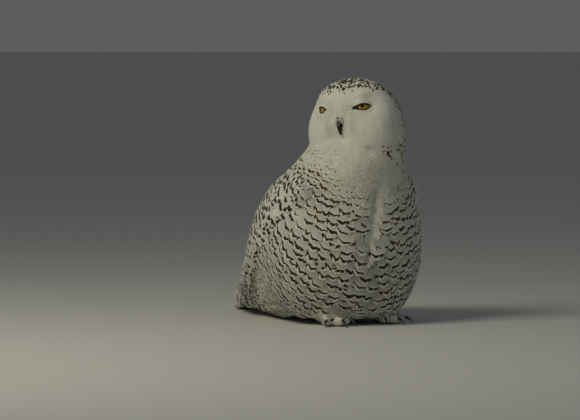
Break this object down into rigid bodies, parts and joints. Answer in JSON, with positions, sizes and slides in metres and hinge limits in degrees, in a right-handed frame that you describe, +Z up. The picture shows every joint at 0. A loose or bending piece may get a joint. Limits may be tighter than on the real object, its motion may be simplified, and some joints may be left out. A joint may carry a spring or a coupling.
{
  "type": "snowy owl",
  "caption": "Life-size still model of an adult female snowy owl resting on the ground, plumage fluffed, wings folded and head turned to her right.",
  "frame": {"origin": "on the floor, under the middle of the owl's bounding box", "axes": "+Z up, -Y the way the owl's breast faces, +X to the owl's left"},
  "size_m": [0.278, 0.466, 0.4153],
  "materials": {
    "white_plumage": "soft matt white feathers",
    "barred_plumage": "white feathers barred and spotted dark brown",
    "eye": "wet amber iris with a black pupil",
    "horn": "smooth black horn"
  },
  "bodies": {
    "root": {"head": "white_plumage", "neck": "white_plumage", "trunk": "barred_plumage", "tail": "barred_plumage", "bill_upper": "horn", "bill_lower": "horn", "wing_left": "barred_plumage", "wing_right": "barred_plumage", "flight_feathers_left": "barred_plumage", "flight_feathers_right": "barred_plumage", "eye_left": "eye", "eye_right": "eye", "leg_left": "white_plumage", "leg_right": "white_plumage", "foot_left": "white_plumage", "foot_right": "white_plumage", "claw_left_inner": "horn", "claw_left_middle": "horn", "claw_left_outer": "horn", "claw_left_hind": "horn", "claw_right_inner": "horn", "claw_right_middle": "horn", "claw_right_outer": "horn", "claw_right_hind": "horn"}
  },
  "joints": []
}
